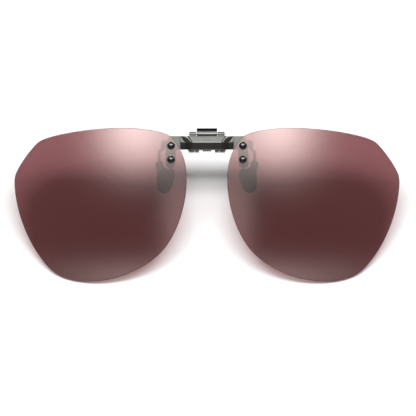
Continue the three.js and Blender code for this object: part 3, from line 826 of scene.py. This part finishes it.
def bush_shell(low, high, middle):
    """A sleeve and its flange, one closed profile all the way round the bore."""
    outer = (high[0] - low[0]) / 2
    corners = [
        (BORE_R, low[1], 0.05), (SLEEVE_R, low[1], 0.08), (SLEEVE_R, high[1] - FLANGE_THICK, 0.04),
        (outer, high[1] - FLANGE_THICK, 0.08), (outer, high[1], 0.08), (BORE_R, high[1], 0.05),
    ]
    return turned(bend(corners, steps=5), (middle[0], 0, middle[2]), steps=40, loop=True)


def nut_shell(low, high, middle):
    """A hexagon whose corners are cut back by a cone at both faces, round a plain bore."""
    half_flats = (high[2] - low[2]) / 2
    angle = np.linspace(0, 2 * math.pi, 96, endpoint=False)
    to_flat = (angle % (math.pi / 3)) - math.pi / 6
    hexagon = half_flats / np.cos(to_flat)
    round_face = np.minimum(hexagon, half_flats * 0.97)
    cone = 0.03 + (hexagon - round_face) * 0.6
    bore = BORE_R + 0 * angle
    radius = np.stack([bore, bore + 0.07, round_face, hexagon, hexagon, round_face, bore + 0.07, bore])
    y0, y1 = low[1] + 0 * angle, high[1] + 0 * angle
    height = np.stack([y0 + 0.07, y0, y0, y0 + cone, y1 - cone, y1, y1, y1 - 0.07])
    grid = [middle[0] + radius * np.cos(angle), height, middle[2] + radius * np.sin(angle)]
    marks = np.array([0.3, 0.3, 0.7, 0.9, 0.9, 0.7, 0.3, 0.3])[:, None]
    return skin(np.stack(grid, -1), marks, loop=True)


FIXINGS = [
    ("screw", screw_shell, BLACK_PLATING, "black_screw"),
    ("bush", bush_shell, NYLON, "nylon"),
    ("nut", nut_shell, GUNMETAL, "gunmetal"),
]
for kind, shell, finish, slot in FIXINGS:
    for row, label in SCREW_MIDDLES:
        node = f"lens_{kind}_{row}_{label}"
        piece(node, [shell(*place_of(node))], finish, sharp=SMALL_SHARP)
    print(kind, MADE[node], "triangles each")

# %% [markdown]
# ## The clip frame
#
# The front jaw is one sheet. Its middle rises, folds forward over the top, curls round the flip pin as the
# middle knuckle and stands up again as the thumb tab: one section in y and z, drawn as arcs and straight
# lines and given width along x. A long strip with two end blocks holds the wires, and two knuckles on short
# arms hang behind it for the jaw pin. The shells are buried a little in each other, as folded and brazed
# parts are.

# %% Jaw parts
SHEET = 0.8
TAB_HALF = 3.7
RAIL_Z = (12.4, 15.1)
RAIL_END_X = 16.7
BLOCK_X = 11.8
BLOCK_DEEP = 1.6
JAW_Y, JAW_Z = place_of("jaw_pin")[2][1:]
JAW_KNUCKLE_R = 1.3
JAW_ARM = 0.9
JAW_EDGE = 0.12
FRAME_EARS_X = (4.5, 6.6)
LEVER_EARS_X = (2.9, 4.4)
BURIED = 0.02


def oblong(near, far, low, high):
    """The four corners of an upright oblong, in turn."""
    return [(near, low), (far, low), (far, high), (near, high)]


def jaw_rail(front):
    """The strip of one jaw, from its front face back, with a deeper block at each end."""
    low, high = RAIL_Z
    strip = [(x, z, 0.45) for x, z in oblong(-RAIL_END_X, RAIL_END_X, low, high)]
    shells = [plate(bend(strip), front, front + SHEET, JAW_EDGE)]
    for side in SIDES.values():
        near, far = side * BLOCK_X, side * (RAIL_END_X - BURIED)
        corners = oblong(near, far, low + BURIED, high - BURIED)
        outline = bend([(*corner, radius) for corner, radius in zip(corners, (0.4, 0.45, 0.45, 0.4))])
        shells.append(plate(outline, front + SHEET / 2, front + BLOCK_DEEP, 0.16))
    return shells


def jaw_knuckles(span, sheet_y):
    """A circle round the jaw pin with an arm that leaves it at the top, towards a jaw's sheet."""
    way = np.sign(sheet_y - JAW_Y)
    dip = math.degrees(math.asin((JAW_KNUCKLE_R - JAW_ARM) / JAW_KNUCKLE_R))
    curl = arc((0, JAW_Z), JAW_KNUCKLE_R, 90, -180 - dip, 48)
    reach, top = -abs(sheet_y - JAW_Y), JAW_Z + JAW_KNUCKLE_R
    outline = np.vstack([curl, [(reach, top - JAW_ARM), (reach, top)]])
    outline = outline * (-way, 1) + (JAW_Y, 0)
    spans = [sorted(side * x for x in span) for side in SIDES.values()]
    return [plate(outline, low, high, JAW_EDGE, across="x") for low, high in spans]


# %% Clip frame
CLIP_FRONT_Y = place_of("detent_spring")[1][1]
CLIP_REAR_Y = CLIP_FRONT_Y + SHEET
MIDDLE_KNUCKLE_R = 0.75
TAB_TOP_Z = place_of("clip_frame")[1][2]
TAB_FRONT_Y = FLIP_Y - 0.7
TAB_THICK = 0.65
TAB_TOP_R = 0.55
TAB_RIM = 0.3  # width of the black rim down the sides of the tab
# Painted shade on the tab's rim.
TAB_RIM_PAINTED_SHADE = 1.7


def folded_web():
    """The section from the strip up, over and round the flip pin, and up the thumb tab.

    The rounded rim of the tab is darkened with painted shade.
    """
    fold_top = FLIP_Z + MIDDLE_KNUCKLE_R
    under = fold_top - SHEET
    start = math.degrees(math.asin((under - FLIP_Z) / MIDDLE_KNUCKLE_R))
    end = -180 - math.degrees(math.acos((FLIP_Y - TAB_FRONT_Y) / MIDDLE_KNUCKLE_R))
    curl = arc((FLIP_Y, FLIP_Z), MIDDLE_KNUCKLE_R, start, end, 60)
    front, rear, foot = CLIP_FRONT_Y + BURIED, CLIP_REAR_Y - BURIED, RAIL_Z[0] + 0.3
    corners = [
        (*curl[-1], 0), (TAB_FRONT_Y, TAB_TOP_Z, TAB_TOP_R), (TAB_FRONT_Y + TAB_THICK, TAB_TOP_Z, 0.05),
        (TAB_FRONT_Y + TAB_THICK, fold_top, 0.25), (rear, fold_top, 0.75), (rear, foot, 0.12),
        (front, foot, 0.12), (front, under, 0.15), (*curl[0], 0),
    ]
    outline = np.vstack([curl, bend(corners, closed=False)[1:-1]])
    web = plate(outline, -TAB_HALF, TAB_HALF, JAW_EDGE, across="x")
    x, _, z = web["points"].T
    # Painted shade: the mark goes below zero round the rim of the tab, above the fold.
    rim = np.maximum(np.abs(x) - TAB_HALF + TAB_RIM, z - TAB_TOP_Z + TAB_TOP_R)
    web["edge"] = web["edge"] - TAB_RIM_PAINTED_SHADE * np.clip(rim / 0.12, 0, 1) * (z > fold_top)
    return web


clip_shells = [*jaw_rail(CLIP_FRONT_Y), folded_web(), *jaw_knuckles(FRAME_EARS_X, CLIP_REAR_Y - 0.1)]
piece("clip_frame", clip_shells, GUNMETAL)
print("clip frame", MADE["clip_frame"], "triangles, tab top at", TAB_TOP_Z.round(2))

# %% [markdown]
# ## The rear jaw
#
# The rear jaw turns on the jaw pin. Its tab leans forward, so that a pinch of both tabs opens the paddles.
# It is made as the front jaw is.

# %% Rear jaw lever
LEVER_FRONT_Y = 0.9
LEVER_BEND_Z = (15.5, 15.8)  # of its front and its rear
LEVER_TIP = [(-1.6, 19.0), (-0.9, 19.4)]


def leaning_tab(front):
    """The section from the strip up, round a wide bend and forward to the tip of the tab."""
    front, rear, foot = front + BURIED, front + SHEET - BURIED, RAIL_Z[0] + 0.3
    section = [
        (front, foot, 0.12), (front, LEVER_BEND_Z[0], 1.6), (*LEVER_TIP[0], 0.3), (*LEVER_TIP[1], 0.3),
        (rear, LEVER_BEND_Z[1], 2.2), (rear, foot, 0.12),
    ]
    return plate(bend(section), -TAB_HALF, TAB_HALF, JAW_EDGE, across="x")


lever_knuckles = jaw_knuckles(LEVER_EARS_X, LEVER_FRONT_Y + 0.1)
lever_shells = [*jaw_rail(LEVER_FRONT_Y), leaning_tab(LEVER_FRONT_Y), *lever_knuckles]
piece("jaw_lever", lever_shells, GUNMETAL)
print("jaw lever", MADE["jaw_lever"], "triangles")

# %% [markdown]
# ## Pins, rivets and springs
#
# Both pins are short rods whose ends are peened into low domes. The detent is a thin leaf, riveted to the
# clip frame, whose two fingers press on the flip knuckles. The jaw spring is a coil on the jaw pin with a
# leg on each jaw: a helix, where the angle grows evenly while x moves by one pitch a turn.

# %% Pins and rivets
def pin_shell(node, radius):
    """A rod with a low dome at each end, as one profile along x."""
    low, high, middle = place_of(node)
    head_r = (high[2] - low[2]) / 2
    head = head_r * 0.42
    half = (high[0] - low[0]) / 2
    corners = [
        (0.05, -half, 0), (head_r * 0.72, -half, 0.14), (head_r, -half + head * 0.6, 0.1),
        (head_r, -half + head, 0.03), (radius, -half + head, 0.03),
    ]
    near = bend(corners, closed=False)
    far = near[::-1] * (1, -1)
    profile = np.vstack([near, far])
    marks = np.where(profile[:, 0] > head_r * 0.7, 0.7, 0.0)
    return turned(profile, middle * (0, 1, 1), axis="x", steps=36, edge=marks)


piece("flip_pin", [pin_shell("flip_pin", 0.4)], SPRING_STEEL, sharp=SMALL_SHARP)
piece("jaw_pin", [pin_shell("jaw_pin", 0.5)], SPRING_STEEL, sharp=SMALL_SHARP)

RIVET_R = 0.35
RIVET_HEAD_R = 0.65
RIVET_HEAD = 0.25
for label in SIDES:
    low, high, middle = place_of(f"detent_rivet_{label}")
    angle = np.linspace(0.03, math.pi / 2, 10)
    dome = np.stack([RIVET_HEAD_R * np.sin(angle), low[1] + RIVET_HEAD * (1 - np.cos(angle))], 1)
    seat, end = low[1] + RIVET_HEAD, high[1]
    tail = [
        (RIVET_HEAD_R, seat, 0), (RIVET_R, seat, 0.02), (RIVET_R, end, 0.02), (0.5, end, 0.02),
        (0.42, end + 0.06, 0.03), (0.03, end + 0.08, 0),
    ]
    profile = np.vstack([dome, bend(tail, closed=False)[1:]])
    rivet = turned(profile, (middle[0], 0, middle[2]), steps=32)
    piece(f"detent_rivet_{label}", [rivet], SPRING_STEEL, sharp=SMALL_SHARP)

# %% Detent leaf and jaw spring
low, high, _ = place_of("detent_spring")
foot, hip, tip = low[2], low[2] + 2, high[2]
FINGER_X = 4.3
right_finger = [(high[0], foot, 0.35), (high[0], tip, 0.45), (FINGER_X, tip, 0.45), (FINGER_X, hip, 0.4)]
left_finger = [(-x, z, radius) for x, z, radius in right_finger[::-1]]
leaf_outline = bend(right_finger + left_finger)
piece("detent_spring", [plate(leaf_outline, low[1], high[1], 0.05)], SPRING_STEEL)

SPRING_TURNS = 6
SPRING_PITCH = 0.46
SPRING_COIL_R = 0.8
SPRING_WIRE_R = 0.2


def spring_route():
    """Down one leg, round the pin from straight before it to straight behind it, and up the other leg."""
    half = SPRING_TURNS * SPRING_PITCH / 2
    share = np.linspace(0, 1, SPRING_TURNS * 40)
    angle = math.pi + 2 * math.pi * (SPRING_TURNS - 0.5) * share
    across, along = SPRING_COIL_R * np.cos(angle), SPRING_COIL_R * np.sin(angle)
    coil = np.stack([half * (2 * share - 1), across, along], 1)
    front_y = CLIP_REAR_Y + SPRING_WIRE_R + 0.1 - JAW_Y
    rear_y = LEVER_FRONT_Y - SPRING_WIRE_R - 0.1 - JAW_Y
    front_leg = [(-half, front_y, z) for z in (2.9, 2.4, 1.9)]
    rear_leg = [(half, rear_y, z) for z in (1.9, 2.35, 2.8)]
    down, up = smooth_route([*front_leg, coil[0]], 12), smooth_route([coil[-1], *rear_leg], 12)
    return np.vstack([down[:-1], coil[1:-1], up[1:]]) + (0, JAW_Y, JAW_Z)


piece("jaw_spring", [tube(spring_route(), SPRING_WIRE_R, (1, 0, 0), 12)], SPRING_STEEL)
print("jaw spring", MADE["jaw_spring"], "triangles")

# %% [markdown]
# ## Wire loops
#
# One length of spring wire makes each loop: down its outer leg, round inside the paddle and up its inner
# leg, with both ends held in the jaw's end block. The jaws' strips lie apart to leave room for the rim of
# the spectacles, and the paddles nearly touch, so the front loops bow. The route is a smooth curve through
# a short list of knots: x away from the nose, the share of the bow, and z.

# %% Wires
WIRE_R = 0.55
WIRE_ROUTE = np.array(
    [
        (15.9, 1, 14.7), (15.9, 1, 13.4), (15.9, 1, 12.4), (16.45, 1, 11.75), (17.2, 1, 11.1),
        (17.35, 0.96, 10.2), (17.35, 0.7, 9.3), (17.35, 0.25, 8.3), (17.3, 0.03, 7.4), (17.1, 0, 6.4),
        (16.7, 0, 5.2), (16.6, 0, 3.8), (16.6, 0, 0.9), (16.15, 0, -0.45), (15.15, 0, -1),
        (14.15, 0, -0.45), (13.7, 0, 0.9), (13.65, 0, 3.4), (13.35, 0, 4.8), (13.05, 0.03, 6.3),
        (12.96, 0.25, 7.6), (12.96, 0.7, 9), (12.96, 0.96, 10.2), (12.96, 1, 11.2), (12.96, 1, 12.4),
        (12.96, 1, 13.4), (12.96, 1, 14.7),
    ]
)
JAWS = {"front": CLIP_FRONT_Y, "rear": LEVER_FRONT_Y}

for face, rail_front in JAWS.items():
    for label, side in SIDES.items():
        paddle_y = place_of(f"{face}_paddle_{label}")[2][1]
        bow = rail_front + BLOCK_DEEP / 2 - paddle_y
        knots = WIRE_ROUTE * (side, bow, 1) + (0, paddle_y, 0)
        route = evenly(smooth_route(knots), 240, closed=False)
        piece(f"{face}_wire_{label}", [tube(route, WIRE_R, (0, 1, 0))], SPRING_STEEL)
    print(face, "wires bow by", round(bow, 2), "mm")

# %% [markdown]
# ## Silicone paddles
#
# Each paddle is moulded onto its loop, like a mitten with a long cuff up the outer leg. Moulded silicone
# has no flat-and-corner look: its sides roll over from the grip face in one soft curve. Each ring's inset
# and depth lie on a superellipse, so the face stays nearly flat and the side is full.

# %% Paddles
def paddle_outline(side):
    """The cuff at the top, then down the outer side, round the toe and up the inner side."""
    body = bend(
        [(15.85, 4.8, 0.6), (15.85, 7.8, 1.1), (18.8, 7.8, 1.1), (18.65, 5.6, 1.5), (18.1, 4.3, 2.0),
         (18.2, 0.6, 3.0), (18.2, -3.2, 2.6), (14.6, -4.6, 2.4), (12.6, -1.6, 3.0), (11.7, 1.6, 3.0),
         (11.7, 4.8, 1.1)]
    )
    return evenly(body, 200) * (side, 1)


def paddle_shell(side, low, high):
    """Insets run from the face to the seam as 1.05 * (1 - cos), while depths follow a power of the sine."""
    angle = np.linspace(0, math.pi / 2, 9)
    middle, half = (low[1] + high[1]) / 2, (high[1] - low[1]) / 2
    inset = np.concatenate([[1.3], 1.05 * (1 - np.sin(angle))])
    depth = np.concatenate([[half], half * np.cos(angle[:-1]) ** 0.55, [0.06]])
    inset = np.concatenate([inset, inset[::-1]])[:, None, None]
    depth = np.concatenate([middle - depth, (middle + depth)[::-1]])[:, None]
    outline = paddle_outline(side)
    flat = outline + inset * inward(outline)
    return skin(np.stack([flat[..., 0], depth + 0 * flat[..., 0], flat[..., 1]], -1))


for face in JAWS:
    for label, side in SIDES.items():
        low, high, _ = place_of(f"{face}_paddle_{label}")
        piece(f"{face}_paddle_{label}", [paddle_shell(side, low, high)], SILICONE)
print("paddles", low.round(2), high.round(2))

# %% [markdown]
# ## The table
#
# The clip-on leans on a pale table and is seen from straight above, so the table is almost an upright plane
# behind it. It touches the bottoms of the lenses and falls away behind the clip. Its back face is
# see-through, so the camera can go round the object.

# %% Table
TABLE_SLOPE = 0.42
REACH = 1500.0
resting = np.array([vertex.co for vertex in bpy.data.objects["lens_left_made"].data.vertices]) / MM
TABLE_Y = (resting[:, 1] - TABLE_SLOPE * resting[:, 2]).max() + 0.1
print("the table passes", round(TABLE_Y, 1), "mm behind the grip")


def table_finish():
    finish = Finish("pale_table")
    grain = finish.noise((0.2, 0.2, 0.2))
    paper = finish.principled(
        Base_Color=finish.blend(grain, (0.9, 0.9, 0.9, 1), (0.92, 0.92, 0.92, 1)),
        Roughness=0.9,
    )
    clear = finish.node("BsdfTransparent").outputs[0]
    back = finish.node("NewGeometry").outputs["Backfacing"]
    return finish.done(finish.mix(back, paper, clear))


def table_sheet():
    """The oblong where y = TABLE_Y + TABLE_SLOPE * z."""
    corners = [(x, TABLE_Y + TABLE_SLOPE * z, z) for x, z in oblong(-REACH, REACH, -REACH, REACH)]
    mesh = bpy.data.meshes.new("table")
    mesh.from_pydata(np.array(corners) * MM, [], [(0, 1, 2, 3)])
    mesh.materials.append(table_finish())
    made = placed("table", mesh)


table_sheet()

# %% [markdown]
# ## Lamps
#
# The key lamp stands above the line of sight. It lights the upper facet of the bridge and throws the soft
# shadows down. The curved lenses mirror a part of what is before them, so each glow on them needs a lamp of
# its own: one for the top of each lens, a wide low one along their bottoms and a narrow one for the sides by
# the nose. These fade to nothing towards their edges, and so do their reflections. Two dim lamps at the
# sides, and a little light from all round, keep the folds of the metal from going black.

# %% Tools for lamps
def aim(made, azimuth, elevation, distance, target):
    """Puts an object before a target, turned (azimuth) and raised (elevation), and points it there."""
    a, e = math.radians(azimuth), math.radians(elevation)
    back = Vector((math.sin(a) * math.cos(e), -math.cos(a) * math.cos(e), math.sin(e)))
    made.location = Vector(target) + back * distance
    made.rotation_mode = "QUATERNION"
    made.rotation_quaternion = (-back).to_track_quat("-Z", "Y")


def lamp(name, azimuth, elevation, distance, size, watts, target=(0, 0, 0)):
    """An oblong soft lamp of a width and a height."""
    light = bpy.data.lights.new(name, "AREA")
    light.shape = "RECTANGLE"
    light.size, light.size_y = size
    light.energy = watts
    made = placed(name, light)
    aim(made, azimuth, elevation, distance, target)
    return made


def glow(name, azimuth, elevation, size, peak, target, spread):
    """A lamp one metre away that fades from its middle, where its radiance is peak.

    Its power is peak * pi * area. Its strength at each point is exp(-r^2 / 2), with r the distance from
    its middle over the spread, one number along x and one across x.
    """
    made = lamp(name, azimuth, elevation, 1.0, size, peak * math.pi * size[0] * size[1], target)
    along, across = spread
    scale = (along, across, across)
    middle = [c / k for c, k in zip(made.location, scale)]
    tree = Tree(made.data)
    place = tree.node("NewGeometry").outputs["Position"]
    scaled = tree.node("VectorMath", {0: place, 1: scale}, operation="DIVIDE").outputs[0]
    away = tree.node("VectorMath", {0: scaled, 1: middle}, operation="DISTANCE")
    away = Num(tree, away.outputs["Value"])
    bell = math.exp(-0.5) ** (away * away)
    shine = tree.node("Emission", {"Color": (1, 1, 1, 1), "Strength": bell})
    tree.node("OutputLight", {"Surface": shine.outputs[0]})


# %% Lamps and air
DATUMS = {label: (side * DATUM_X * MM, LENS_FRONT_Y * MM, DATUM_Z * MM) for label, side in SIDES.items()}
MIDDLE_DATUM = (0, LENS_FRONT_Y * MM, DATUM_Z * MM)
for label, side in SIDES.items():
    glow(f"lens_lamp_{label}", side * 7.2, 5.6, (0.7, 0.7), 3.8, DATUMS[label], (0.09, 0.093))
    lamp(f"side_lamp_{label}", side * 75, 24, 0.6, (0.35, 0.35), 0.3)
glow("low_strip", 0, -25, (1.6, 0.4), 0.9, MIDDLE_DATUM, (0.26, 0.052))
glow("nose_strip", 0, -12, (0.3, 0.6), 0.4, MIDDLE_DATUM, (0.044, 0.12))
lamp("key_lamp", 0, 33, 0.8, (0.9, 0.3), 8.5)


def studio_air():
    """White light from all round, with a plain pale backdrop where the camera looks past the table."""
    world = bpy.data.worlds.new("studio")
    tree = Tree(world)
    air = tree.node("Background", {"Color": (1, 1, 1, 1), "Strength": 0.12}).outputs[0]
    backdrop = tree.node("Background", {"Color": (0.8, 0.8, 0.81, 1)}).outputs[0]
    seen = tree.node("LightPath").outputs["Is Camera Ray"]
    tree.node("OutputWorld", {"Surface": tree.mix(seen, air, backdrop)})
    bpy.context.scene.world = world


studio_air()
print("lamps", len(bpy.data.lights))

# %% [markdown]
# ## The camera
#
# A long lens from far off, straight before the object, keeps both halves alike.

# %% Camera
VIEW_WIDTH = 150.84  # mm across the frame at the lenses
VIEW_MIDDLE = (0.38, LENS_FRONT_Y, -9.43)
FOCAL = 600
SENSOR = 36
camera = placed("camera", bpy.data.cameras.new("camera"))
camera.data.lens = FOCAL
camera.data.sensor_width = SENSOR
camera.data.clip_end = 50
aim(camera, 0, 0, VIEW_WIDTH * MM * FOCAL / SENSOR, [c * MM for c in VIEW_MIDDLE])
bpy.context.scene.camera = camera
bpy.context.scene.view_settings.view_transform = "Standard"
print("camera at", [round(c, 3) for c in camera.location], "triangles in all", sum(MADE.values()))
